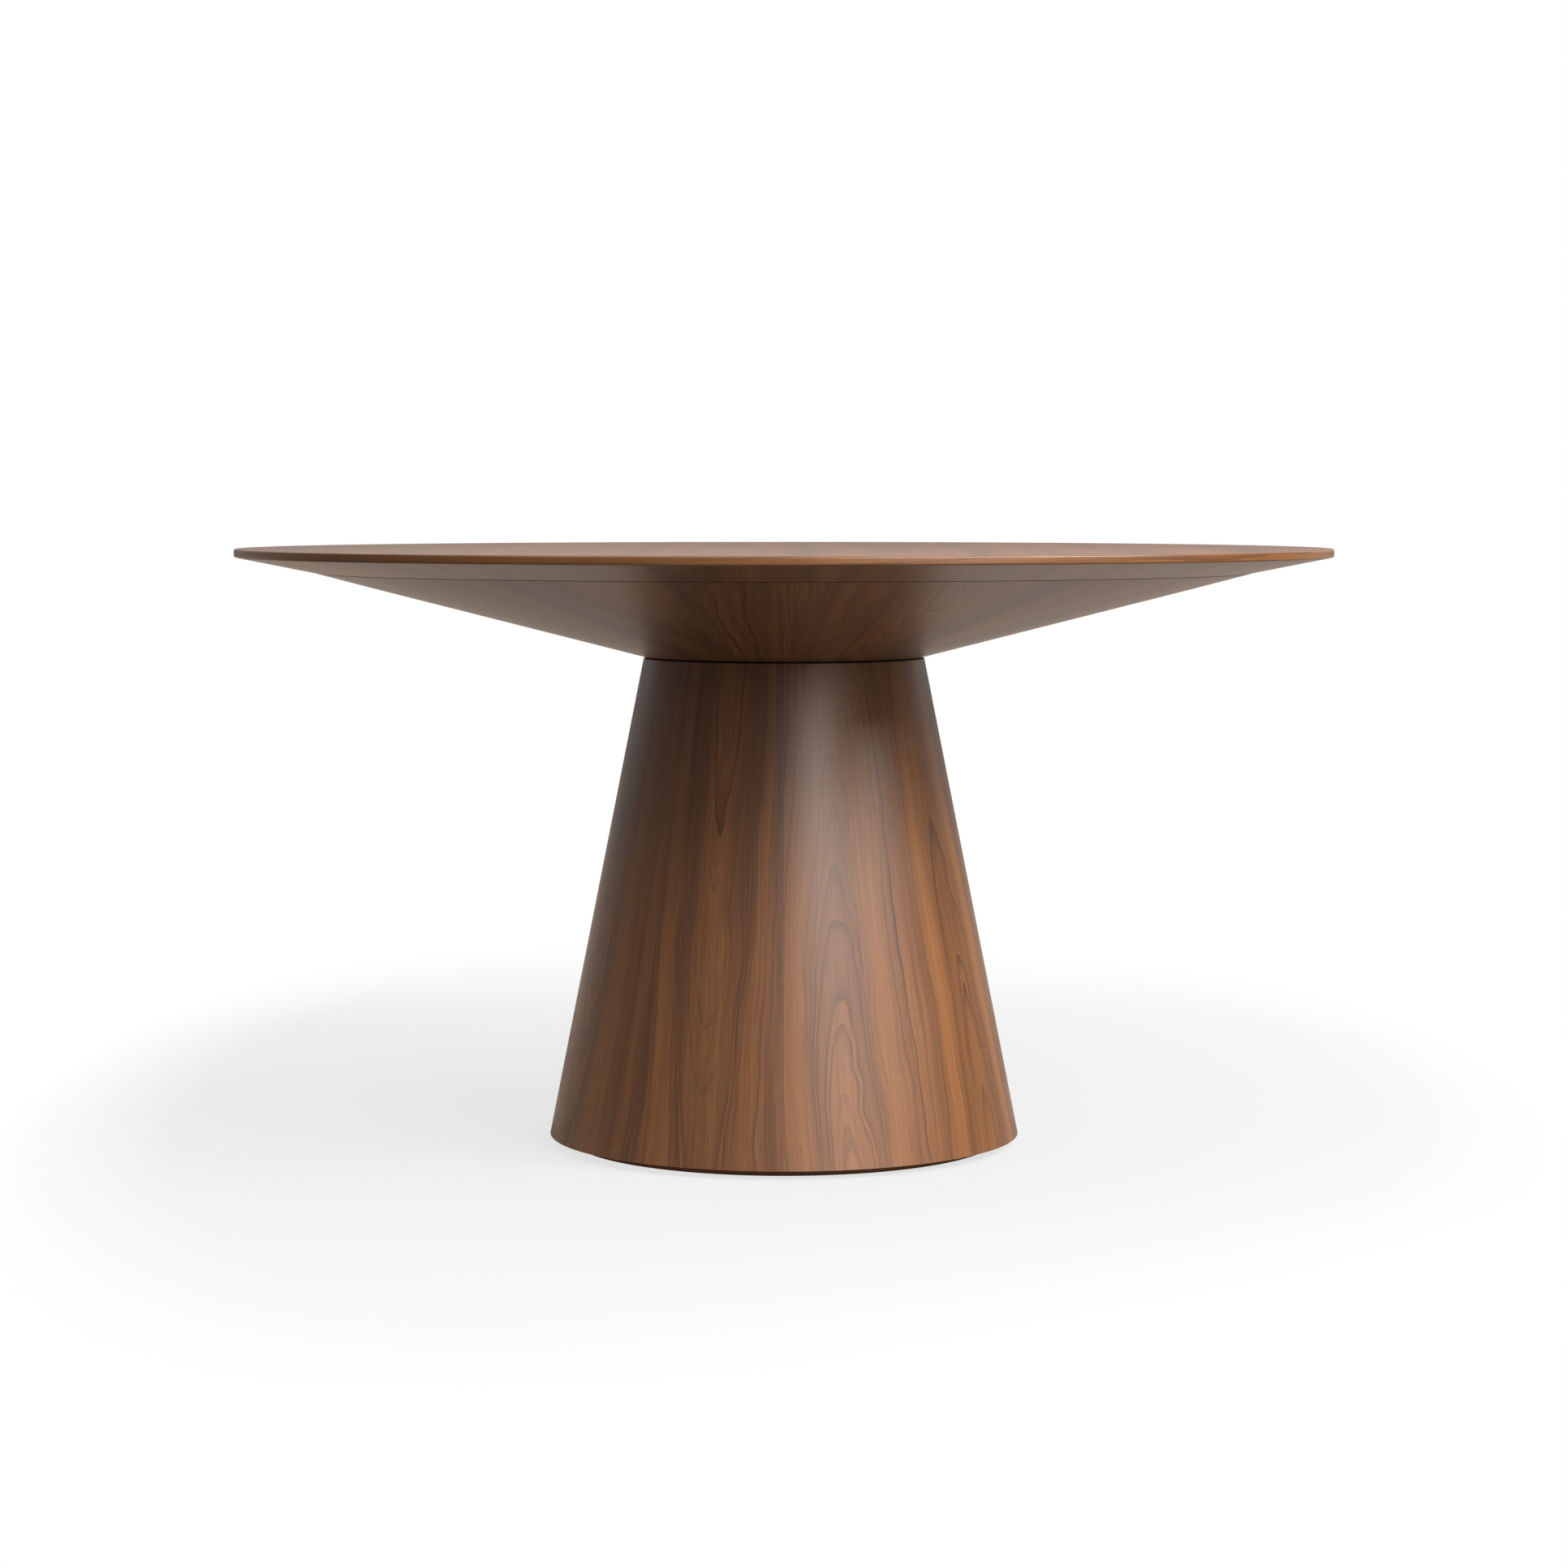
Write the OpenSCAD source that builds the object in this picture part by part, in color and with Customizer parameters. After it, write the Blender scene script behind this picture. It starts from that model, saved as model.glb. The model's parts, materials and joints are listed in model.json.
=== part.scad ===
// Tilt-top pedestal dining table: a thin-edged walnut top on a flared underside, hinged at
// the back of its neck to a hollow cone pedestal that stands on six levelling glides.
// +Z is up, the floor is z = 0, the pedestal's axis is the Z axis and the hinge is at +Y.
// Millimetres.

/* [Table top] */
// Diameter of the table top
top_d = 1372; // [1300:4:1440]
// Height of the top face above the floor
table_h = 752; // [735:1:770]
// Thickness of the top at its outer edge
edge_t = 10; // [8:1:12]
// Thickness of the top where its bevel ends
top_t = 30; // [26:1:32]
// Radial width of the bevel under the top's edge
bevel_w = 100; // [90:2:110]
// Radial thickness of the solid wood lipping round the edge
band_w = 5; // [4:1:8]
// Radius that both corners of the edge are rounded to
edge_round = 2.5; // [1:0.5:3]

/* [Flare] */
// Diameter of the flare where it meets the pedestal
neck_d = 360; // [340:2:370]
// Height of the flare's lower face above the floor
neck_z = 616.5; // [610:0.5:625]
// Height of the dark reveal between the flare and the table top
reveal_h = 1; // [0.5:0.5:2]
// Thickness of the flare's bent board, measured upright
flare_t = 6.2; // [5:0.1:8]
// Number of ribs inside the flare
rib_count = 8; // [8:1:8]
// Thickness of each rib
rib_t = 18; // [12:1:22]

/* [Pedestal] */
// Diameter of the pedestal at its top
ped_top_d = 354; // [340:2:358]
// Diameter of the pedestal at its lower edge
ped_base_d = 594; // [570:2:620]
// Height of the pedestal's lower edge above the floor
ped_base_z = 11.5; // [8:0.5:14]
// Thickness of the pedestal's bent board, measured level
ped_t = 10; // [8:1:12]
// Height of the shadow gap between the pedestal and the flare
gap_h = 3; // [3:0.5:4]
// Number of battens inside the pedestal
batten_count = 6; // [6:1:6]

/* [Tilt hinge and catches] */
// Length of the hinge along its pin
hinge_l = 100; // [80:5:100]
// Diameter of the hinge's barrel
barrel_d = 8; // [7:0.5:8]
// Width of each catch bar
catch_w = 20; // [16:1:22]
// Distance that a catch bar slides
catch_stroke = 12; // [10:0.5:13]

/* [Plinth and glides] */
// Diameter of the recessed plinth
plinth_d = 536; // [530:2:540]
// Radial thickness of the plinth
plinth_t = 20; // [16:1:20]
// Gap between the plinth and the floor
plinth_clear = 1; // [0.5:0.5:2]
// Diameter of the circle that the glides stand on
glide_pcd = 444; // [430:2:446]
// Diameter of a glide's pad
pad_d = 32; // [28:1:34]

/* [Boards and skins] */
// Thickness of the walnut veneer
veneer_t = 0.8; // [0.6:0.1:1.2]
// Thickness of the plywood disc and rings that carry load
plate_t = 24; // [22:1:26]
// Thickness of the neck plate, hub and middle ring boards
board_t = 18; // [16:1:20]
// Thickness of the steel ballast ring
ballast_t = 20; // [12:1:22]

/* [Hidden] */
$fn = 128;
eps = 0.01;

// Colours
walnut = "#8a5a37";
walnut_end = "#9a6238";
mdf = "#b08d63";
plywood = "#c9a876";
black_stain = "#1c1512";
dark_stain = "#3c281b";
zinc = "#b9bcc0";
brass = "#b08d4a";
ballast_grey = "#4a4d50";
nylon = "#26262a";

// Table top outline
top_r = top_d / 2;
band_in_r = top_r - band_w;
top_under_z = table_h - top_t;
edge_low_z = table_h - edge_t;
seam_r = top_r - bevel_w;
bevel_slope = (top_t - edge_t) / bevel_w;
bevel_angle = atan(bevel_slope);

// Flare outline: the skin's lower end is at neck_r, its upper end is just under the seam
neck_r = neck_d / 2;
flare_top_r = seam_r - 1;
flare_top_z = top_under_z - reveal_h;
flare_slope = (flare_top_z - neck_z) / (flare_top_r - neck_r);
skin_run = veneer_t / flare_slope;
shell_run = flare_t / flare_slope;
shell_in_r = neck_r - skin_run - shell_run;
neck_top_z = neck_z + board_t;
rim_in_r = 455;
rim_out_r = 540;

// Hub, ribs and their screws
hub_flat_r = 70;
hub_screw_count = 4;
hub_screw_at_r = 40;
hub_screw_r = 3;
hub_screw_l = 60;
rim_screw_count = 8;
rim_screw_at_r = 472;
rim_screw_a = 22.5;
rim_screw_sink = 5;
rim_screw_bite = 14;
wood_screw_r = 2.5;

// Hinge: its pin stands just behind the pedestal's top edge, its leaves lie in the gap
leaf_t = gap_h / 2 - 0.1;
barrel_r = barrel_d / 2;
pin_r = 2.5;
hinge_y = ped_top_d / 2 + 5;
hinge_z = neck_z - barrel_r;
leaf_front_y = 118;
leaf_back_y = hinge_y - barrel_r - 0.5;
knuckle_count = 5;
knuckle_l = hinge_l / knuckle_count;
knuckle_gap = 0.15;
hinge_screw_r = 2;
hinge_screw_xs = [-35, 0, 35];
hinge_screw_ys = [leaf_front_y + 12, leaf_front_y + 28];
hinge_top_screw_l = 16;
hinge_base_screw_l = 22;

// Catches: flat bars in the gap that slide over two keeper plates
ped_top_z = neck_z - gap_h;
catch_x = 70;
catch_t = 1.5;
catch_tip_y = -103;
catch_back_y = 184;
catch_lip_h = 15;
catch_low_z = ped_top_z + 0.1;
guide_ys = [-60, 70];
guide_r = 2.5;
guide_play = 0.3;
guide_screw_l = 18;
guide_head_r = 6;
guide_head_h = 1;
guide_head_z = ped_top_z + catch_t + 0.2;

// Keepers: each is a flat plate below a catch bar's path, held by a block under the neck plate
keeper_t = 2;
keeper_gap = 1;
keeper_block_l = 20;
keeper_top_z = catch_low_z - 0.5;
keeper_low_z = keeper_top_z - keeper_t;
keeper_tip_y = catch_tip_y - keeper_gap;
keeper_block_y = catch_tip_y - catch_stroke - keeper_gap;
keeper_front_y = keeper_block_y - keeper_block_l;
keeper_screw_l = 20;
keeper_room = 1.5;

// Seat that the top rests on
seat_r = 168;
seat_in_r = 50;
seat_t = gap_h - 0.1;

// Pedestal outline
ped_top_r = ped_top_d / 2;
ped_base_r = ped_base_d / 2;
ped_slope = (ped_base_r - ped_top_r) / (ped_top_z - ped_base_z);
plate_low_z = ped_top_z - plate_t;
mid_low_z = 300;
mid_in_r = 180;
base_low_z = ped_base_z + 8;
base_top_z = base_low_z + plate_t;
base_in_r = 150;
m8_r = 4;
insert_r = 6;
batten_w = 40;
batten_t = 18;
notch_clear = 0.5;

// Ballast and plinth
ballast_out_r = 250;
ballast_screw_r = 200;
coach_hole_r = 4.5;
coach_head_af = 13;
coach_head_h = 5.5;
coach_screw_l = 40;
plinth_r = plinth_d / 2;
plinth_in_r = plinth_r - plinth_t;
plinth_screw_r = plinth_r - plinth_t / 2;
plinth_screw_l = 34;

// Levelling glides, one every 60 degrees, the first at 30 degrees
glide_count = 6;
glide_r = glide_pcd / 2;
glide_a = 30;
pad_h = 10;
pad_round = 1.5;
pad_bore_z = 4;
journal_r = 4.5;
running_gap = 0.05;
collar_af = 14;
collar_low_z = pad_h + 0.1;
flange_r = 12;
flange_t = 1.5;
collar_top_z = base_low_z - flange_t - 0.6;
glide_insert_l = 22;
stud_top_z = 52;

// Radius of the pedestal board's inner face at height z
function ped_in_r(z) = ped_top_r - veneer_t - ped_t + (ped_top_z - z) * ped_slope;

// Height of the flare board's inner face at radius r
function flare_in_z(r) = neck_z + (r - shell_in_r) * flare_slope;

// Repeats its children evenly round the Z axis at radius r
module around(count, r, start = 0) {
    for (i = [0:count - 1])
        rotate(start + i * 360 / count)
            translate([r, 0, 0]) children();
}

// Countersunk wood screw, its head's flat face at z = 0 and its point upwards
module wood_screw(length, r = wood_screw_r) {
    cylinder(h = r, r1 = 2 * r, r2 = r);
    translate([0, 0, r - eps]) cylinder(h = length - r + eps, r = r);
}

// What a fillet of radius r takes off an outline's corner, between two tangent points
module corner_cut(centre, first, corner, second, r) {
    difference() {
        polygon([centre, first, corner, second]);
        translate(centre) circle(r);
    }
}

// ---- table top ----

module tabletop_core() {
    color(mdf)
    difference() {
        rotate_extrude() polygon([
            [0, top_under_z],
            [seam_r, top_under_z],
            [seam_r, top_under_z + veneer_t],
            [band_in_r, edge_low_z - band_w * bevel_slope + veneer_t],
            [band_in_r, table_h - veneer_t],
            [0, table_h - veneer_t]
        ]);
        around(rim_screw_count, rim_screw_at_r, rim_screw_a)
            rim_screw();
    }
}

module top_veneer() {
    color(walnut)
    translate([0, 0, table_h - veneer_t])
        cylinder(h = veneer_t, r = band_in_r);
}

module edge_band() {
    fillet_r = top_r - edge_round;
    fillet_z = edge_low_z - edge_round * bevel_slope + edge_round / cos(bevel_angle);
    color(walnut_end)
    rotate_extrude() difference() {
        polygon([
            [band_in_r, edge_low_z - band_w * bevel_slope],
            [top_r, edge_low_z],
            [top_r, table_h],
            [band_in_r, table_h]
        ]);
        corner_cut([fillet_r, table_h - edge_round], [fillet_r, table_h],
            [top_r, table_h], [top_r, table_h - edge_round], edge_round);
        corner_cut([fillet_r, fillet_z],
            [fillet_r + edge_round * sin(bevel_angle), fillet_z - edge_round * cos(bevel_angle)],
            [top_r, edge_low_z], [top_r, fillet_z], edge_round);
    }
}

module bevel_veneer() {
    outer_z = edge_low_z - band_w * bevel_slope;
    color(walnut)
    rotate_extrude() polygon([
        [seam_r, top_under_z],
        [band_in_r, outer_z],
        [band_in_r, outer_z + veneer_t],
        [seam_r, top_under_z + veneer_t]
    ]);
}

// ---- flare ----

module flare_veneer() {
    color(walnut)
    rotate_extrude() polygon([
        [neck_r - skin_run, neck_z],
        [neck_r, neck_z],
        [flare_top_r, flare_top_z],
        [flare_top_r - skin_run, flare_top_z]
    ]);
}

module flare_shell() {
    color(plywood)
    rotate_extrude() polygon([
        [shell_in_r, neck_z],
        [neck_r - skin_run, neck_z],
        [flare_top_r - skin_run, flare_top_z],
        [flare_top_r - skin_run - shell_run, flare_top_z]
    ]);
}

// One screw up through the rim ring into the table top
module rim_screw() {
    head_z = flare_in_z(rim_screw_at_r) + rim_screw_sink;
    translate([0, 0, head_z])
        wood_screw(top_under_z + rim_screw_bite - head_z);
}

module rim_screws() {
    color(zinc)
    around(rim_screw_count, rim_screw_at_r, rim_screw_a)
        rim_screw();
}

module rim_ring() {
    color(mdf)
    difference() {
        rotate_extrude() polygon([
            [rim_in_r, flare_in_z(rim_in_r)],
            [rim_out_r, flare_in_z(rim_out_r)],
            [rim_out_r, top_under_z],
            [rim_in_r, top_under_z]
        ]);
        around(rim_screw_count, rim_screw_at_r, rim_screw_a) {
            rim_screw();
            translate([0, 0, flare_in_z(rim_screw_at_r) - rim_screw_sink])
                cylinder(h = 2 * rim_screw_sink, r = 2 * wood_screw_r);
        }
    }
}

// Rib from the hub to the rim ring, standing on the neck plate and the flare board
module flare_rib(i) {
    plate_out_r = shell_in_r + board_t / flare_slope;
    glue_gap = 0.2;
    color(plywood)
    rotate((i - 1) * 360 / rib_count)
        translate([0, rib_t / 2, 0])
            rotate([90, 0, 0])
                linear_extrude(rib_t) polygon([
                    [hub_flat_r, neck_top_z],
                    [plate_out_r, neck_top_z],
                    [plate_out_r, neck_top_z + glue_gap],
                    [rim_in_r - glue_gap, flare_in_z(rim_in_r) + glue_gap],
                    [rim_in_r - glue_gap, top_under_z],
                    [hub_flat_r, top_under_z]
                ]);
}

module hub_screw() {
    translate([0, 0, neck_z])
        wood_screw(hub_screw_l, hub_screw_r);
}

// Eight-sided block that the ribs butt against
module hub_block() {
    color(plywood)
    difference() {
        translate([0, 0, neck_top_z])
            rotate(22.5)
                cylinder(h = top_under_z - neck_top_z, r = hub_flat_r / cos(22.5), $fn = 8);
        around(hub_screw_count, hub_screw_at_r)
            hub_screw();
    }
}

module hub_screws() {
    color(zinc)
    around(hub_screw_count, hub_screw_at_r)
        hub_screw();
}

module neck_plate() {
    color(plywood)
    difference() {
        rotate_extrude() polygon([
            [0, neck_z],
            [shell_in_r, neck_z],
            [shell_in_r + board_t / flare_slope, neck_top_z],
            [0, neck_top_z]
        ]);
        around(hub_screw_count, hub_screw_at_r)
            hub_screw();
        hinge_screw_places() hinge_top_screw();
        keeper_screw_places() keeper_screw();
    }
}

// ---- tilt hinge ----

// Places its children at the six screws of a hinge leaf
module hinge_screw_places() {
    for (x = hinge_screw_xs)
        for (y = hinge_screw_ys)
            translate([x, y, 0]) children();
}

// Knuckles number first, first + 2 and so on, with their tongues to a leaf at height z
module knuckles(first, z, bore_r) {
    for (k = [first:2:knuckle_count])
        translate([-hinge_l / 2 + (k - 1) * knuckle_l + knuckle_gap, 0, 0])
            difference() {
                union() {
                    translate([0, hinge_y, hinge_z]) rotate([0, 90, 0])
                        cylinder(h = knuckle_l - 2 * knuckle_gap, r = barrel_r);
                    translate([0, leaf_back_y - 1, z])
                        cube([knuckle_l - 2 * knuckle_gap, hinge_y - leaf_back_y + 1, leaf_t]);
                }
                translate([-1, hinge_y, hinge_z]) rotate([0, 90, 0])
                    cylinder(h = knuckle_l + 2, r = bore_r);
            }
}

module leaf_plate(z) {
    translate([-hinge_l / 2, leaf_front_y, z])
        cube([hinge_l, leaf_back_y - leaf_front_y, leaf_t]);
}

module hinge_top_screw() {
    translate([0, 0, neck_z - leaf_t])
        wood_screw(hinge_top_screw_l, hinge_screw_r);
}

module hinge_top_leaf() {
    color(brass)
    difference() {
        union() {
            leaf_plate(neck_z - leaf_t);
            knuckles(2, neck_z - leaf_t, pin_r + running_gap);
        }
        hinge_screw_places() hinge_top_screw();
    }
}

module hinge_top_screws() {
    color(brass)
    hinge_screw_places() hinge_top_screw();
}

module hinge_base_screw() {
    translate([0, 0, ped_top_z + leaf_t])
        rotate([180, 0, 0]) wood_screw(hinge_base_screw_l, hinge_screw_r);
}

module hinge_base_leaf() {
    color(brass)
    difference() {
        union() {
            leaf_plate(ped_top_z);
            knuckles(1, ped_top_z, pin_r);
        }
        hinge_screw_places() hinge_base_screw();
    }
}

module hinge_base_screws() {
    color(brass)
    hinge_screw_places() hinge_base_screw();
}

module hinge_pin() {
    color(brass)
    translate([-hinge_l / 2 - 1, hinge_y, hinge_z])
        rotate([0, 90, 0]) cylinder(h = hinge_l + 2, r = pin_r);
}

// ---- catches and seat ----

// Box as wide as a catch bar plus a clearance each side, between two depths and two heights
module catch_box(side, y0, y1, z0, z1, clear = 0) {
    translate([side * catch_x - catch_w / 2 - clear, y0, z0])
        cube([catch_w + 2 * clear, y1 - y0, z1 - z0]);
}

module keeper_blocks() {
    color(black_stain)
    difference() {
        for (side = [-1, 1])
            catch_box(side, keeper_front_y, keeper_block_y, keeper_top_z, neck_z);
        keeper_screw_places() keeper_screw();
    }
}

module keeper_plates() {
    color(zinc)
    difference() {
        for (side = [-1, 1])
            catch_box(side, keeper_front_y, keeper_tip_y, keeper_low_z, keeper_top_z);
        keeper_screw_places() keeper_screw();
    }
}

// Places its children at the two screws of each keeper
module keeper_screw_places() {
    for (side = [-1, 1])
        for (part = [0.25, 0.75])
            translate([side * catch_x, keeper_front_y + part * keeper_block_l, 0]) children();
}

module keeper_screw() {
    translate([0, 0, keeper_low_z])
        wood_screw(keeper_screw_l, hinge_screw_r);
}

module keeper_screws() {
    color(zinc)
    keeper_screw_places() keeper_screw();
}

// Shoulder screw that a catch bar slides on
module catch_screw() {
    translate([0, 0, ped_top_z - guide_screw_l])
        cylinder(h = guide_head_z - ped_top_z + guide_screw_l + eps, r = guide_r);
    translate([0, 0, guide_head_z]) cylinder(h = guide_head_h, r = guide_head_r);
}

// Places its children at the two shoulder screws of the bar on one side
module catch_screw_places(side) {
    for (y = guide_ys)
        translate([side * catch_x, y, 0]) children();
}

module catch_screws() {
    color(zinc)
    for (side = [-1, 1])
        catch_screw_places(side) catch_screw();
}

// Flat bar drawn back: two slots for its screws and a finger lip behind
module catch_bar(side) {
    slot_r = guide_r + guide_play;
    color(zinc)
    difference() {
        union() {
            catch_box(side, catch_tip_y, catch_back_y, catch_low_z, catch_low_z + catch_t);
            catch_box(side, catch_back_y - catch_t, catch_back_y,
                catch_low_z + catch_t - catch_lip_h, catch_low_z + catch_t);
        }
        catch_screw_places(side)
            translate([0, 0, catch_low_z - 1]) {
                for (y = [0, catch_stroke])
                    translate([0, y, 0]) cylinder(h = catch_t + 2, r = slot_r);
                translate([-slot_r, 0, 0]) cube([2 * slot_r, catch_stroke, catch_t + 2]);
            }
    }
}

// Black seat on the pedestal, cut away round the hinge and the catch bars
module seat_ring() {
    color(black_stain)
    translate([0, 0, ped_top_z])
        difference() {
            cylinder(h = seat_t, r = seat_r);
            translate([0, 0, -1]) cylinder(h = seat_t + 2, r = seat_in_r);
            translate([-hinge_l / 2 - 2, leaf_front_y - 2, -1]) cube([hinge_l + 4, seat_r, seat_t + 2]);
            for (side = [-1, 1])
                catch_box(side, keeper_front_y - keeper_room, seat_r, -1, seat_t + 1, keeper_room);
        }
}

// ---- pedestal ----

module pedestal_veneer() {
    color(walnut)
    rotate_extrude() polygon([
        [ped_base_r - veneer_t, ped_base_z],
        [ped_base_r, ped_base_z],
        [ped_top_r, ped_top_z],
        [ped_top_r - veneer_t, ped_top_z]
    ]);
}

module pedestal_shell() {
    color(plywood)
    rotate_extrude() polygon([
        [ped_in_r(ped_base_z), ped_base_z],
        [ped_base_r - veneer_t, ped_base_z],
        [ped_top_r - veneer_t, ped_top_z],
        [ped_in_r(ped_top_z), ped_top_z]
    ]);
}

// Board from radius in_r out to the pedestal's inner face, between two heights
module inner_board(in_r, low_z, high_z) {
    rotate_extrude() polygon([
        [in_r, low_z],
        [ped_in_r(low_z), low_z],
        [ped_in_r(high_z), high_z],
        [in_r, high_z]
    ]);
}

module pedestal_top_plate() {
    color(plywood)
    difference() {
        inner_board(0, plate_low_z, ped_top_z);
        hinge_screw_places() hinge_base_screw();
        for (side = [-1, 1]) {
            catch_screw_places(side) catch_screw();
            catch_box(side, keeper_front_y - keeper_room, keeper_tip_y + keeper_room,
                keeper_low_z - keeper_room, ped_top_z + 1, keeper_room);
        }
    }
}

// Upright strip that lies against the pedestal board's inner face
module batten_strip(clear = 0) {
    thick = batten_t + clear;
    wide = batten_w + 2 * clear;
    intersection() {
        rotate_extrude() polygon([
            [ped_in_r(base_top_z) - thick, base_top_z],
            [ped_in_r(base_top_z), base_top_z],
            [ped_in_r(plate_low_z), plate_low_z],
            [ped_in_r(plate_low_z) - thick, plate_low_z]
        ]);
        translate([0, -wide / 2, base_top_z])
            cube([ped_base_r, wide, plate_low_z - base_top_z]);
    }
}

module batten(i) {
    color(plywood)
    rotate((i - 0.5) * 360 / batten_count)
        batten_strip();
}

module pedestal_mid_ring() {
    color(plywood)
    difference() {
        inner_board(mid_in_r, mid_low_z, mid_low_z + board_t);
        around(batten_count, 0, 180 / batten_count)
            batten_strip(notch_clear);
    }
}

module pedestal_base_ring() {
    color(plywood)
    difference() {
        inner_board(base_in_r, base_low_z, base_top_z);
        around(glide_count, glide_r, glide_a)
            translate([0, 0, base_low_z - 1]) cylinder(h = plate_t + 2, r = insert_r);
        around(glide_count, ballast_screw_r)
            ballast_screw();
        around(glide_count, plinth_screw_r)
            plinth_screw();
    }
}

// ---- ballast and plinth ----

module ballast_ring() {
    color(ballast_grey)
    translate([0, 0, base_top_z])
        difference() {
            cylinder(h = ballast_t, r = ballast_out_r);
            translate([0, 0, -1]) cylinder(h = ballast_t + 2, r = base_in_r);
            around(glide_count, glide_r, glide_a)
                translate([0, 0, -1]) cylinder(h = ballast_t + 2, r = 2 * m8_r);
            around(glide_count, ballast_screw_r)
                translate([0, 0, -1]) cylinder(h = ballast_t + 2, r = coach_hole_r);
        }
}

// Hex-headed coach screw down through the ballast ring into the base ring
module ballast_screw() {
    translate([0, 0, base_top_z + ballast_t])
        cylinder(h = coach_head_h, r = coach_head_af / 2 / cos(30), $fn = 6);
    translate([0, 0, base_top_z + ballast_t - coach_screw_l])
        cylinder(h = coach_screw_l + eps, r = m8_r);
}

module ballast_screws() {
    color(zinc)
    around(glide_count, ballast_screw_r)
        ballast_screw();
}

module plinth_ring() {
    color(dark_stain)
    difference() {
        translate([0, 0, plinth_clear])
            cylinder(h = base_low_z - plinth_clear, r = plinth_r);
        cylinder(h = base_low_z + 1, r = plinth_in_r);
        around(glide_count, plinth_screw_r)
            plinth_screw();
    }
}

module plinth_screw() {
    translate([0, 0, plinth_clear])
        wood_screw(plinth_screw_l);
}

module plinth_screws() {
    color(zinc)
    around(glide_count, plinth_screw_r)
        plinth_screw();
}

// ---- levelling glides ----

// Flanged threaded inserts in the base ring, one over each glide
module glide_inserts() {
    color(zinc)
    around(glide_count, glide_r, glide_a)
        translate([0, 0, base_low_z])
            difference() {
                union() {
                    translate([0, 0, -flange_t]) cylinder(h = flange_t, r = flange_r);
                    cylinder(h = glide_insert_l, r = insert_r);
                }
                translate([0, 0, -flange_t - 1])
                    cylinder(h = glide_insert_l + flange_t + 2, r = m8_r + running_gap);
            }
}

// Round nylon foot with a socket for the stud's lower end
module glide_pad(i) {
    pad_r = pad_d / 2;
    color(nylon)
    rotate(glide_a + (i - 1) * 360 / glide_count)
        translate([glide_r, 0, 0])
            difference() {
                rotate_extrude() difference() {
                    square([pad_r, pad_h]);
                    corner_cut([pad_r - pad_round, pad_round], [pad_r - pad_round, 0],
                        [pad_r, 0], [pad_r, pad_round], pad_round);
                }
                translate([0, 0, pad_bore_z])
                    cylinder(h = pad_h, r = journal_r + running_gap);
            }
}

// Threaded stud with a hex collar for the spanner; the thread is drawn plain
module glide_stud(i) {
    color(zinc)
    rotate(glide_a + (i - 1) * 360 / glide_count)
        translate([glide_r, 0, 0]) {
            translate([0, 0, pad_bore_z + 0.2])
                cylinder(h = collar_low_z - pad_bore_z, r = journal_r);
            translate([0, 0, collar_low_z])
                cylinder(h = collar_top_z - collar_low_z, r = collar_af / 2 / cos(30), $fn = 6);
            translate([0, 0, collar_top_z - eps])
                cylinder(h = stud_top_z - collar_top_z, r = m8_r);
        }
}

tabletop_core();
top_veneer();
edge_band();
bevel_veneer();
flare_veneer();
flare_shell();
rim_ring();
rim_screws();
hub_block();
hub_screws();
neck_plate();
hinge_top_leaf();
hinge_top_screws();
hinge_pin();
hinge_base_leaf();
hinge_base_screws();
keeper_blocks();
keeper_plates();
keeper_screws();
catch_bar(-1);  // catch_bar_1
catch_bar(1);  // catch_bar_2
catch_screws();
seat_ring();
pedestal_top_plate();
pedestal_veneer();
pedestal_shell();
pedestal_mid_ring();
pedestal_base_ring();
ballast_ring();
ballast_screws();
plinth_ring();
plinth_screws();
glide_inserts();
for (i = [1:rib_count])
    flare_rib(i);
for (i = [1:batten_count])
    batten(i);
for (i = [1:glide_count]) {
    glide_pad(i);
    glide_stud(i);
}
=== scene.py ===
"""Looks of the tilt top table: walnut veneers, bare inner boards, metal fittings, pale studio."""
import json
import math

import bmesh
import bpy
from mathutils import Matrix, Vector


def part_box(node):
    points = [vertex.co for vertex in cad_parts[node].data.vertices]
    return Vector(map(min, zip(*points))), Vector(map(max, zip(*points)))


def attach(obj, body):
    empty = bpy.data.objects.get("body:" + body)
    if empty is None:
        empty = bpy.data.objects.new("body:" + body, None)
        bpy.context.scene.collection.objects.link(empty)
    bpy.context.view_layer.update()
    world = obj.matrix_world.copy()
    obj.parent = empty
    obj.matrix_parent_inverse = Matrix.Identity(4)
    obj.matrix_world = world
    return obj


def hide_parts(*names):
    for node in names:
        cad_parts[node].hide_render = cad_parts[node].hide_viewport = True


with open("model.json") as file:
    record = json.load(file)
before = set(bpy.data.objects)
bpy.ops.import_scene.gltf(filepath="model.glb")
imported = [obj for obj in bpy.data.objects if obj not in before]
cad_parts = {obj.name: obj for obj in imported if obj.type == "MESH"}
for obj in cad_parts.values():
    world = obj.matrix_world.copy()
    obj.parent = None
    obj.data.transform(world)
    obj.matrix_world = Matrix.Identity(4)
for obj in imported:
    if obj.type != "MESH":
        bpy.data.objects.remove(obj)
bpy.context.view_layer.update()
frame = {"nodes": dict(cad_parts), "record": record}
NODES = frame["nodes"]

# ---------------------------------------------------------------- sizes, from the frame

EDGE_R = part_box("edge_band")[1][0]
SEAM_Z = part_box("tabletop_core")[0][2]
SEAM_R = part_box("flare_veneer")[1][0]
PED_TOP_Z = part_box("pedestal_veneer")[1][2]
PED_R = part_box("pedestal_veneer")[1][0]

# ---------------------------------------------------------------- node helpers


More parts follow.
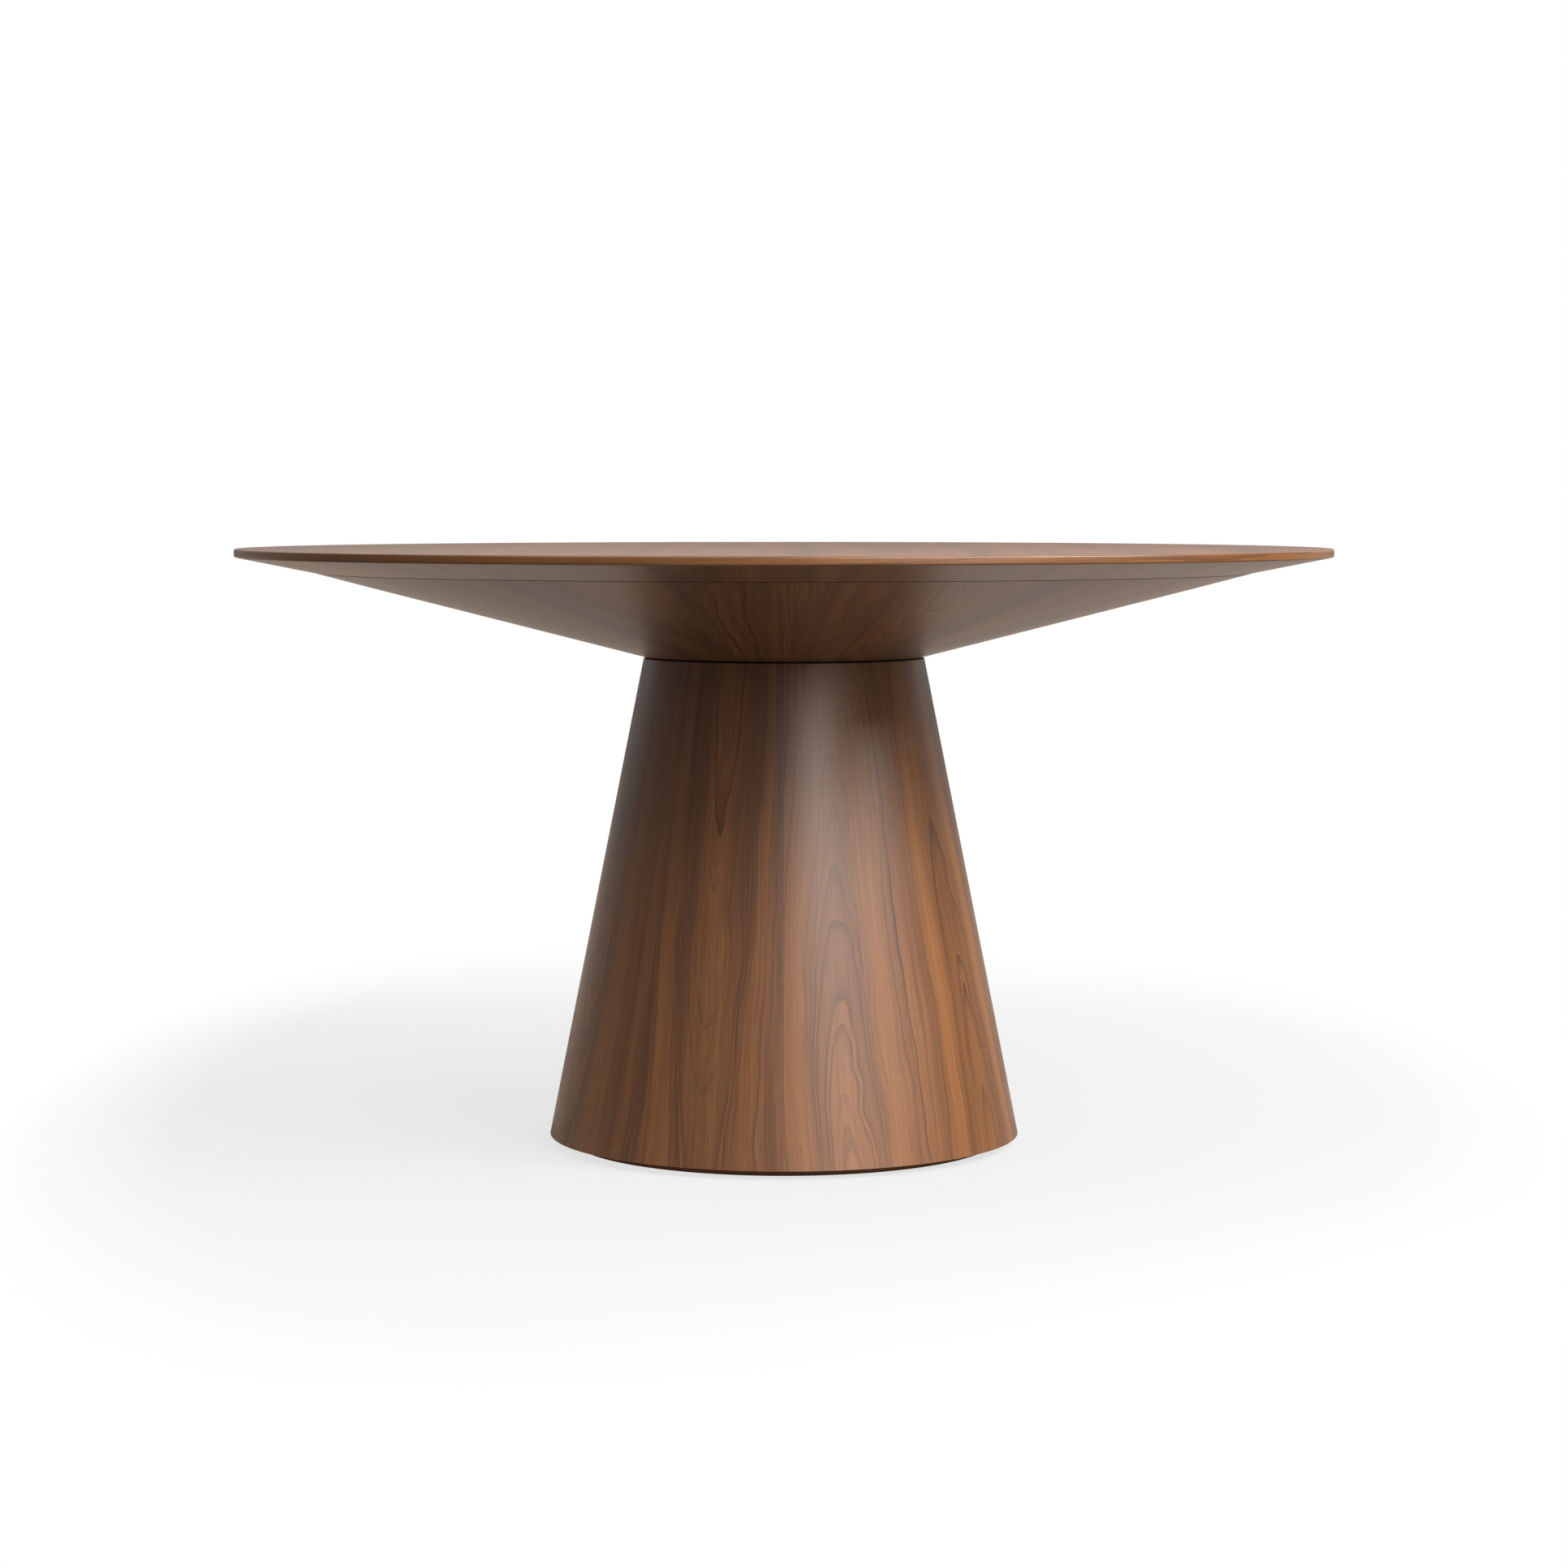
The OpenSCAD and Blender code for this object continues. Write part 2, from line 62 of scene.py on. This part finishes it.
class Graph:
    """A material's node tree, with short calls that add a node and wire its inputs."""

    def __init__(self, name):
        self.mat = bpy.data.materials.new(name)
        self.mat.use_nodes = True
        self.tree = self.mat.node_tree
        self.tree.nodes.clear()
        self.out = self.tree.nodes.new("ShaderNodeOutputMaterial")
        self.coord = self.tree.nodes.new("ShaderNodeTexCoord").outputs["Object"]

    def put(self, socket, value):
        if isinstance(value, bpy.types.NodeSocket):
            self.tree.links.new(value, socket)
        else:
            socket.default_value = value

    def math(self, op, a, b=0.0, c=0.0):
        node = self.tree.nodes.new("ShaderNodeMath")
        node.operation = op
        for socket, value in zip(node.inputs, (a, b, c)):
            self.put(socket, value)
        return node.outputs[0]

    def hypot(self, a, b):
        return self.math("SQRT", self.math("ADD", self.math("MULTIPLY", a, a), self.math("MULTIPLY", b, b)))

    def xyz(self, vector):
        node = self.tree.nodes.new("ShaderNodeSeparateXYZ")
        self.put(node.inputs[0], vector)
        return node.outputs

    def vector(self, x, y, z=0.0):
        node = self.tree.nodes.new("ShaderNodeCombineXYZ")
        for socket, value in zip(node.inputs, (x, y, z)):
            self.put(socket, value)
        return node.outputs[0]

    def noise(self, vector, scale=1.0, detail=2.0, rough=0.5, distortion=0.0, dims="3D"):
        node = self.tree.nodes.new("ShaderNodeTexNoise")
        node.noise_dimensions = dims
        self.put(node.inputs["W" if dims == "1D" else "Vector"], vector)
        self.put(node.inputs["Scale"], scale)
        self.put(node.inputs["Detail"], detail)
        self.put(node.inputs["Roughness"], rough)
        self.put(node.inputs["Distortion"], distortion)
        return node.outputs["Fac"]

    def random(self, w):
        node = self.tree.nodes.new("ShaderNodeTexWhiteNoise")
        node.noise_dimensions = "1D"
        self.put(node.inputs["W"], w)
        return node.outputs["Value"]

    def remap(self, value, low, high, to_low=0.0, to_high=1.0):
        node = self.tree.nodes.new("ShaderNodeMapRange")
        for key, v in (("Value", value), ("From Min", low), ("From Max", high),
                       ("To Min", to_low), ("To Max", to_high)):
            self.put(node.inputs[key], v)
        return node.outputs[0]

    def ramp(self, value, stops):
        node = self.tree.nodes.new("ShaderNodeValToRGB")
        self.put(node.inputs[0], value)
        elements = node.color_ramp.elements
        while len(elements) < len(stops):
            elements.new(0.5)
        for element, (place, colour) in zip(elements, stops):
            element.position = place
            element.color = (*colour, 1.0)
        return node.outputs[0]

    def mix(self, factor, a, b, blend="MIX"):
        node = self.tree.nodes.new("ShaderNodeMix")
        node.data_type = "RGBA"
        node.blend_type = blend
        self.put(node.inputs[0], factor)
        self.put(node.inputs[6], (*a, 1.0) if isinstance(a, tuple) else a)
        self.put(node.inputs[7], (*b, 1.0) if isinstance(b, tuple) else b)
        return node.outputs[2]

    def bump(self, height, strength, distance):
        node = self.tree.nodes.new("ShaderNodeBump")
        self.put(node.inputs["Strength"], strength)
        self.put(node.inputs["Distance"], distance)
        self.put(node.inputs["Height"], height)
        return node.outputs[0]

    def surface(self, **values):
        node = self.tree.nodes.new("ShaderNodeBsdfPrincipled")
        for key, value in values.items():
            name = key.replace("_", " ")
            if isinstance(value, tuple) and len(value) == 3:
                value = (*value, 1.0)
            self.put(node.inputs[name], value)
        self.tree.links.new(node.outputs[0], self.out.inputs["Surface"])
        return self.mat


# ---------------------------------------------------------------- walnut

DARK = (0.072, 0.0245, 0.0054)
DEEP = (0.122, 0.0420, 0.0088)
MID = (0.186, 0.0665, 0.0140)
LIGHT = (0.266, 0.1030, 0.0245)
LINE = (0.30, 0.24, 0.20)
PORE = (0.030, 0.011, 0.003)


def walnut(name, place, leaf_w, seed, span, slope=0.11, tone=1.0, spread=1.0, gloss=0.5, coat=0.22,
           bold=0.0, sway_by=1.0):
    """Satin walnut. place(graph) gives the distances across and along the grain, in metres.
    The sheet is laid up from leaves leaf_w wide, each cut from its own stretch of the log.
    span is the lowest and highest place along the grain, and slope is how fast the cut
    comes nearer to the log's heart over it, which draws out the arches."""
    g = Graph(name)
    across, along = place(g)
    leaf = g.math("FLOOR", g.math("DIVIDE", across, leaf_w))
    u = g.math("SUBTRACT", across, g.math("MULTIPLY", g.math("ADD", leaf, 0.5), leaf_w))
    pick = g.random(g.math("ADD", leaf, seed))
    pick2 = g.random(g.math("ADD", leaf, seed + 31.7))
    u = g.math("ADD", u, g.math("MULTIPLY", g.math("SUBTRACT", pick, 0.5), 0.5 * leaf_w))
    v = g.math("ADD", along, g.math("MULTIPLY", pick2, 7.0))

    # the grain wanders a little across the leaf as it runs along
    sway = g.noise(g.vector(g.math("MULTIPLY", u, 7.0), g.math("MULTIPLY", v, 2.4), pick), 1.0, 1.0, 0.5)
    wave = g.noise(g.vector(g.math("MULTIPLY", u, 24.0), g.math("MULTIPLY", v, 9.0), pick2), 1.0, 2.0, 0.5)
    u2 = g.math("ADD", u, g.math("MULTIPLY", g.math("SUBTRACT", sway, 0.5), 0.036 * sway_by))
    u2 = g.math("ADD", u2, g.math("MULTIPLY", g.math("SUBTRACT", wave, 0.5), 0.014))

    # the log's rings, cut nearer to the heart towards one end, give nested arches
    turned = g.math("SUBTRACT", g.math("MULTIPLY", g.math("GREATER_THAN", pick2, 0.5), 2.0), 1.0)
    middle = (span[0] + span[1]) / 2
    reach = g.math("MULTIPLY", g.math("SUBTRACT", along, middle), turned)
    depth = g.math("MULTIPLY", g.math("ADD", reach, (span[1] - span[0]) / 2), slope)
    depth = g.math("ADD", depth, g.math("ADD", g.math("MULTIPLY", wave, 0.010), 0.020))
    wide = g.math("MULTIPLY", u2, 1.5)
    ring = g.hypot(wide, depth)
    ring = g.math("ADD", ring, g.math("MULTIPLY", pick, 4.0))

    # each ring darkens towards its outer side and ends in a thin line, some stronger than others
    uneven = g.noise(ring, 55.0, 1.0, 0.5, dims="1D")
    count = g.math("ADD", g.math("MULTIPLY", ring, 140.0), g.math("MULTIPLY", uneven, 4.0))
    edge = g.math("POWER", g.math("FRACT", count), 3.0 - 1.2 * bold)
    line = g.math("MULTIPLY", edge, g.remap(g.random(g.math("FLOOR", count)), 0.2, 1.0, 0.15, 1.0))
    broad = g.noise(ring, 17.0, 1.0, 0.5, dims="1D")

    # fine fibre, long soft streaks and open pores, drawn out along the grain
    fibre = g.noise(g.vector(g.math("MULTIPLY", u2, 430.0), g.math("MULTIPLY", v, 5.0), pick), 1.0, 3.0, 0.7)
    streak = g.noise(g.vector(g.math("MULTIPLY", u2, 34.0), g.math("MULTIPLY", v, 0.9), pick2),
                     1.0, 3.0, 0.55)
    fade = g.noise(g.vector(g.math("MULTIPLY", u2, 30.0), g.math("MULTIPLY", v, 3.0), pick), 1.0, 2.0, 0.5)
    pore = g.noise(g.vector(g.math("MULTIPLY", u, 2600.0), g.math("MULTIPLY", v, 75.0), pick), 1.0, 1.0, 0.5)
    pore = g.remap(pore, 0.60, 0.70)

    # straight grain at a leaf's sides is closer and darker than the arches in its middle
    side = g.math("DIVIDE", g.math("ABSOLUTE", u2), 0.5 * leaf_w)
    value = g.math("ADD", g.math("MULTIPLY", broad, 0.32), g.math("MULTIPLY", streak, 0.30))
    value = g.math("ADD", value, g.math("MULTIPLY", fibre, 0.36))
    value = g.math("SUBTRACT", value, g.math("MULTIPLY", g.math("SUBTRACT", side, 0.5), 0.06))
    value = g.math("ADD", value, g.math("MULTIPLY", g.math("SUBTRACT", pick2, 0.5), 0.10))
    colour = g.ramp(g.remap(value, 0.49 - 0.22 / spread, 0.49 + 0.22 / spread),
                    ((0.0, DARK), (0.30, DEEP), (0.60, MID), (1.0, LIGHT)))
    strength = g.remap(fade, 0.35, 0.65, 0.45 + 0.35 * bold, 1.0)
    line_tint = tuple(shade ** (1.0 + bold) for shade in LINE)
    colour = g.mix(g.math("MULTIPLY", line, strength), colour, g.mix(1.0, colour, line_tint, "MULTIPLY"))
    colour = g.mix(g.math("MULTIPLY", pore, 0.30), colour, PORE)
    if tone != 1.0:
        colour = g.mix(1.0, colour, (tone, tone, tone), "MULTIPLY")
    height = g.math("SUBTRACT", g.math("MULTIPLY", line, -0.25), g.math("MULTIPLY", pore, 0.6))
    rough = g.remap(g.math("ADD", streak, fibre), 0.7, 1.3, 0.42, 0.48)
    return g.surface(Base_Color=colour, Roughness=rough, Normal=g.bump(height, 0.08, 0.0004),
                     Specular_IOR_Level=gloss, Coat_Weight=coat, Coat_Roughness=0.34)


def round_grain(mean_r):
    """Grain that runs out from the table's axis: angle across, distance from the axis along."""
    def place(g):
        x, y, z = g.xyz(g.coord)
        angle = g.math("ARCTAN2", x, g.math("MULTIPLY", y, -1.0))
        return g.math("MULTIPLY", angle, mean_r), g.hypot(x, y)
    return place


def upright_grain(mean_r):
    """Grain that runs up the pedestal: angle across, height along."""
    def place(g):
        x, y, z = g.xyz(g.coord)
        angle = g.math("ARCTAN2", x, g.math("MULTIPLY", y, -1.0))
        return g.math("MULTIPLY", angle, mean_r), z
    return place


def band_grain(mean_r):
    """Grain that runs round the edge: height across, angle along."""
    def place(g):
        x, y, z = g.xyz(g.coord)
        angle = g.math("ARCTAN2", x, g.math("MULTIPLY", y, -1.0))
        return g.math("ADD", z, 3.0), g.math("MULTIPLY", angle, mean_r)
    return place


def straight_grain(g):
    """Grain that runs from front to back."""
    x, y, z = g.xyz(g.coord)
    return x, y


# ---------------------------------------------------------------- other materials


def plain(name, dark, light, rough, metallic=0.0, scale=60.0, bump=0.1, stretch=(1.0, 1.0, 1.0)):
    g = Graph(name)
    x, y, z = g.xyz(g.coord)
    p = g.vector(g.math("MULTIPLY", x, stretch[0]), g.math("MULTIPLY", y, stretch[1]),
                 g.math("MULTIPLY", z, stretch[2]))
    cloud = g.noise(p, scale, 4.0, 0.6)
    fine = g.noise(p, scale * 14.0, 2.0, 0.6)
    mixed = g.math("ADD", g.math("MULTIPLY", cloud, 0.7), g.math("MULTIPLY", fine, 0.3))
    colour = g.mix(g.remap(mixed, 0.35, 0.65), dark, light)
    return g.surface(Base_Color=colour, Roughness=g.remap(cloud, 0.3, 0.7, rough - 0.05, rough + 0.05),
                     Metallic=metallic, Normal=g.bump(fine, bump, 0.0003))


# how far in from the seam the core's underside is painted dark: painted shade in the fine gap
GAP_SHADE_IN = 0.012


def core_material():
    """Fibreboard, with painted shade: painted dark where its underside shows in the fine gap above the
    flare.
    """
    g = Graph("fibreboard")
    x, y, z = g.xyz(g.coord)
    away = g.hypot(x, y)
    # painted shade: near the seam the underside is darkened, standing for the shade inside the fine gap
    gap_shade = g.math("MULTIPLY", g.math("GREATER_THAN", away, SEAM_R - GAP_SHADE_IN),
                     g.math("LESS_THAN", z, SEAM_Z + 0.0004))
    cloud = g.noise(g.coord, 180.0, 4.0, 0.6)
    colour = g.mix(g.remap(cloud, 0.35, 0.65), (0.34, 0.22, 0.12), (0.42, 0.29, 0.17))
    # painted shade in the gap: near-black brown laid over the board's own colour
    colour = g.mix(gap_shade, colour, (0.030, 0.014, 0.006))
    return g.surface(Base_Color=colour, Roughness=0.75, Normal=g.bump(cloud, 0.1, 0.0003))


def plywood_material():
    """Birch ply: pale faces with a faint straight figure, and plies seen on upright edges."""
    g = Graph("birch_plywood")
    x, y, z = g.xyz(g.coord)
    figure = g.noise(g.vector(g.math("MULTIPLY", x, 40.0), g.math("MULTIPLY", y, 3.0), z), 1.0, 3.0, 0.6)
    plies = g.math("SINE", g.math("MULTIPLY", z, 2.0 * math.pi / 0.0028))
    colour = g.mix(g.remap(figure, 0.3, 0.7), (0.50, 0.33, 0.17), (0.66, 0.48, 0.28))
    colour = g.mix(g.remap(plies, -0.2, 0.9, 0.0, 0.25), colour, (0.30, 0.17, 0.08))
    return g.surface(Base_Color=colour, Roughness=0.62, Normal=g.bump(figure, 0.08, 0.0003))


# mean radii at which the leaves of the round veneers are measured, and how many leaves go round
PED_MEAN, PED_LEAVES = PED_R * 0.8, 9
FLARE_MEAN, FLARE_LEAVES = 0.40, 12
BEVEL_MEAN, BEVEL_LEAVES = 0.63, 16
ROUND_SPAN = (0.18, EDGE_R)


def leaf_width(mean_r, leaves):
    return mean_r * 2 * math.pi / leaves


MATERIALS = {
    "walnut_pedestal": walnut("walnut_pedestal", upright_grain(PED_MEAN), leaf_width(PED_MEAN, PED_LEAVES),
                              8.0, (0.0, PED_TOP_Z), slope=0.085, gloss=0.6, coat=0.3, bold=0.2),
    "walnut_flare": walnut("walnut_flare", round_grain(FLARE_MEAN), leaf_width(FLARE_MEAN, FLARE_LEAVES),
                           4.0, ROUND_SPAN, slope=0.16, coat=0.4, bold=1.0, sway_by=0.6, spread=1.35),
    "walnut_bevel": walnut("walnut_bevel", round_grain(BEVEL_MEAN), leaf_width(BEVEL_MEAN, BEVEL_LEAVES),
                           12.0, ROUND_SPAN, coat=0.4, bold=0.6),
    "walnut_edge": walnut("walnut_edge", band_grain(EDGE_R), 6.0, 23.0, (-2.2, 2.2), slope=0.02,
                          tone=0.75),
    "walnut_top": walnut("walnut_top", straight_grain, 0.21, 41.0, (-EDGE_R, EDGE_R), slope=0.05,
                         spread=0.6, coat=0.35),
    "plywood": plywood_material(),
    "mdf": core_material(),
    "plinth_stain": plain("dark_stain", (0.120, 0.048, 0.014), (0.170, 0.070, 0.022), 0.60, scale=35.0,
                          stretch=(1.0, 1.0, 8.0)),
    "seat_rubber": plain("black_rubber", (0.006, 0.006, 0.006), (0.014, 0.013, 0.013), 0.7, scale=200.0),
    "brass": plain("satin_brass", (0.50, 0.34, 0.13), (0.57, 0.40, 0.17), 0.30, 1.0, 60.0, bump=0.03),
    "zinc_steel": plain("zinc_steel", (0.48, 0.49, 0.52), (0.58, 0.59, 0.62), 0.34, 1.0, 120.0, bump=0.04),
    "ballast_steel": plain("grey_primer", (0.045, 0.050, 0.055), (0.070, 0.075, 0.080), 0.6, scale=70.0),
    "nylon": plain("black_nylon", (0.010, 0.010, 0.011), (0.020, 0.020, 0.021), 0.45, scale=240.0),
}
SLOT_OF = {part["node"]: part["material_slot"] for part in frame["record"]["subparts"]}
BODY_OF = {node: body for body, held in frame["record"]["behaviour"]["bodies"].items() for node in held}
for node_name, node_object in NODES.items():
    node_object.data.materials.clear()
    node_object.data.materials.append(MATERIALS[SLOT_OF[node_name]])

# ---------------------------------------------------------------- turned pieces

TURNED = ("edge_band", "bevel_veneer", "flare_veneer", "top_veneer", "pedestal_veneer")
STEPS = 360
# drawn this little inside the CAD radius, so that no finer corner stands past the CAD node
SHRINK = 0.9999
# how far the flare's skin is drawn up into the fine gap under the top
SKIN_RISE = 0.0005


def outline(node):
    """The (radius, height) corners of a round CAD node, in order round its cut face."""
    corners = []
    for vertex in NODES[node].data.vertices:
        x, y, z = vertex.co
        corner = (math.hypot(x, y), z)
        if all(math.dist(corner, other) > 2e-5 for other in corners):
            corners.append(corner)
    if len(corners) == 2:
        corners += [(0.0, z) for r, z in corners]
    mid_r = sum(r for r, z in corners) / len(corners)
    mid_z = sum(z for r, z in corners) / len(corners)
    return sorted(corners, key=lambda c: math.atan2(c[1] - mid_z, c[0] - mid_r))


def turned(node):
    """A copy of a round CAD node with the same outline, turned in finer steps."""
    corners = outline(node)
    if node == "flare_veneer":
        top_z = max(z for r, z in corners)
        corners = [(r, z + SKIN_RISE if z > top_z - 1e-4 else z) for r, z in corners]
    count = len(corners)
    points, faces = [], []
    for step in range(STEPS):
        a = 2 * math.pi * step / STEPS
        points += [(SHRINK * r * math.cos(a), SHRINK * r * math.sin(a), z) for r, z in corners]
        here, after = step * count, (step + 1) % STEPS * count
        for i in range(count):
            j = (i + 1) % count
            if corners[i][0] > 0 or corners[j][0] > 0:
                faces.append((here + i, after + i, after + j, here + j))
    mesh = bpy.data.meshes.new(f"turned_{node}")
    mesh.from_pydata(points, [], faces)
    shape = bmesh.new()
    shape.from_mesh(mesh)
    bmesh.ops.remove_doubles(shape, verts=shape.verts, dist=1e-6)
    bmesh.ops.dissolve_degenerate(shape, edges=shape.edges, dist=1e-6)
    bmesh.ops.recalc_face_normals(shape, faces=shape.faces)
    shape.to_mesh(mesh)
    shape.free()
    mesh.polygons.foreach_set("use_smooth", [True] * len(mesh.polygons))
    mesh.set_sharp_from_angle(angle=math.radians(32))
    mesh.materials.append(MATERIALS[SLOT_OF[node]])
    piece = bpy.data.objects.new(f"turned_{node}", mesh)
    bpy.context.collection.objects.link(piece)
    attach(piece, BODY_OF[node])
    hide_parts(node)


for node_name in TURNED:
    turned(node_name)

# ---------------------------------------------------------------- studio

FLOOR_HALF = 14.0


def floor_material():
    """Pale matt floor. The camera sees a faint grey field of painted shade, darker nearer the table, with a
    soft shadow cast by the lamps, which fades to the white surround; the table feels a warm glow from it,
    strongest behind."""
    g = Graph("studio_floor")
    x, y, z = g.xyz(g.coord)
    away = g.hypot(x, y)
    nodes, links = g.tree.nodes, g.tree.links
    seen = nodes.new("ShaderNodeLightPath").outputs["Is Camera Ray"]
    unseen = g.math("SUBTRACT", 1.0, seen)

    # the field of painted shade is an oval of floor round the table, with a soft edge
    aside = g.math("DIVIDE", x, 0.98)
    back = g.math("DIVIDE", g.math("SUBTRACT", y, 0.45), 2.1)
    field = g.remap(g.hypot(aside, back), 0.82, 1.06, 1.0, 0.0)
    # painted shade: within the field the floor the camera sees is darker nearer the table
    painted_shade_level = g.math("ADD", g.remap(away, 0.3, 1.3, 0.725, 0.785), g.remap(away, 1.3, 2.2, 0.0, 0.118))
    shown = g.math("ADD", 1.0, g.math("MULTIPLY", field, g.math("SUBTRACT", painted_shade_level, 1.0)))

    ahead = g.math("DIVIDE", y, g.math("MAXIMUM", away, 0.01))
    behind = g.remap(ahead, 0.4, 0.6)
    near = g.remap(away, 0.75, 0.85, 1.0, 0.0)
    far = g.remap(away, 1.8, 2.2)
    rear = g.math("ADD", g.math("ADD", 0.30, g.math("MULTIPLY", near, 0.34)), g.math("MULTIPLY", far, 0.65))
    front = g.math("ADD", g.math("MULTIPLY", near, 0.21), g.math("MULTIPLY", far, 0.10))
    felt = g.math("ADD", g.math("MULTIPLY", rear, behind),
                  g.math("MULTIPLY", front, g.math("SUBTRACT", 1.0, behind)))
    felt = g.math("MULTIPLY", felt, g.math("GREATER_THAN", away, 0.27))

    lit = nodes.new("ShaderNodeBsdfDiffuse")
    shade = g.math("ADD", g.math("MULTIPLY", seen, g.math("MULTIPLY", field, 0.10)),
                   g.math("MULTIPLY", unseen, g.remap(away, 0.3, 3.0, 0.225, 0.0)))
    g.put(lit.inputs["Color"], g.vector(shade, shade, shade))
    glow = nodes.new("ShaderNodeEmission")
    g.put(glow.inputs["Color"], g.mix(seen, (1.0, 0.80, 0.65), (1.0, 1.0, 1.0)))
    g.put(glow.inputs["Strength"],
          g.math("ADD", g.math("MULTIPLY", seen, shown), g.math("MULTIPLY", unseen, felt)))
    both = nodes.new("ShaderNodeAddShader")
    links.new(lit.outputs[0], both.inputs[0])
    links.new(glow.outputs[0], both.inputs[1])
    links.new(both.outputs[0], g.out.inputs["Surface"])
    return g.mat


def make_floor():
    mesh = bpy.data.meshes.new("studio_floor")
    h = FLOOR_HALF
    mesh.from_pydata([(-h, -h, 0), (h, -h, 0), (h, h, 0), (-h, h, 0)], [], [(0, 1, 2, 3)])
    floor = bpy.data.objects.new("studio_floor", mesh)
    bpy.context.collection.objects.link(floor)
    mesh.materials.append(floor_material())


def make_world(felt):
    """White surround: full white where it is seen directly, dimmer as light."""
    world = bpy.data.worlds.new("studio")
    bpy.context.scene.world = world
    world.use_nodes = True
    tree = world.node_tree
    back = tree.nodes["Background"]
    rays = tree.nodes.new("ShaderNodeLightPath")
    level = tree.nodes.new("ShaderNodeMapRange")
    tree.links.new(rays.outputs["Is Camera Ray"], level.inputs["Value"])
    level.inputs["To Min"].default_value = felt
    level.inputs["To Max"].default_value = 1.0
    tree.links.new(level.outputs[0], back.inputs["Strength"])
    back.inputs["Color"].default_value = (1.0, 1.0, 1.0, 1.0)


def softbox(name, azimuth, elevation, distance, size_x, size_y, power, target=(0, 0, 0.35)):
    """Area light; azimuth 0 is in front of the table, positive to the right."""
    light = bpy.data.lights.new(name, "AREA")
    light.shape = "RECTANGLE"
    light.size, light.size_y = size_x, size_y
    light.energy = power
    lamp = bpy.data.objects.new(name, light)
    a, e = math.radians(azimuth), math.radians(elevation)
    aim = Vector(target)
    way = Vector((math.sin(a) * math.cos(e), -math.cos(a) * math.cos(e), math.sin(e)))
    lamp.location = aim + distance * way
    lamp.rotation_euler = (aim - lamp.location).to_track_quat("-Z", "Y").to_euler()
    bpy.context.collection.objects.link(lamp)


def make_camera():
    """Level with the table's top, 4.76 m in front of its axis, tipped down a little."""
    data = bpy.data.cameras.new("camera")
    data.sensor_width = 36.0
    data.lens = 86.62
    camera = bpy.data.objects.new("camera", data)
    camera.location = (0.0, -4.760, 0.8128)
    camera.rotation_euler = (math.pi / 2 - 0.07526, 0.0, 0.0)
    bpy.context.collection.objects.link(camera)
    bpy.context.scene.camera = camera


make_floor()
make_world(felt=0.23)
softbox("key", 66.0, 30.0, 4.5, 1.2, 1.2, 118.0)
softbox("key_high", 66.0, 40.0, 4.5, 1.2, 1.2, 57.0)
softbox("front_right", 40.0, 38.0, 3.6, 1.6, 1.2, 80.0)
softbox("front", 22.0, 30.0, 3.6, 1.2, 1.6, 72.0)
softbox("front_low", 34.0, 10.0, 3.6, 0.9, 1.6, 9.0)
softbox("fill", -45.0, 45.0, 4.5, 2.5, 2.0, 44.0)
softbox("overhead", 0.0, 85.0, 4.0, 3.5, 3.5, 17.0)
softbox("back_high", 180.0, 40.0, 5.0, 6.0, 2.0, 97.0, target=(0, 0, 0.75))
softbox("rim_right", 140.0, 20.0, 4.5, 2.0, 2.5, 10.0, target=(0, 0, 0.5))
softbox("rim_left", -140.0, 20.0, 4.5, 2.0, 2.5, 5.0, target=(0, 0, 0.5))
make_camera()
bpy.context.scene.view_settings.view_transform = "Standard"
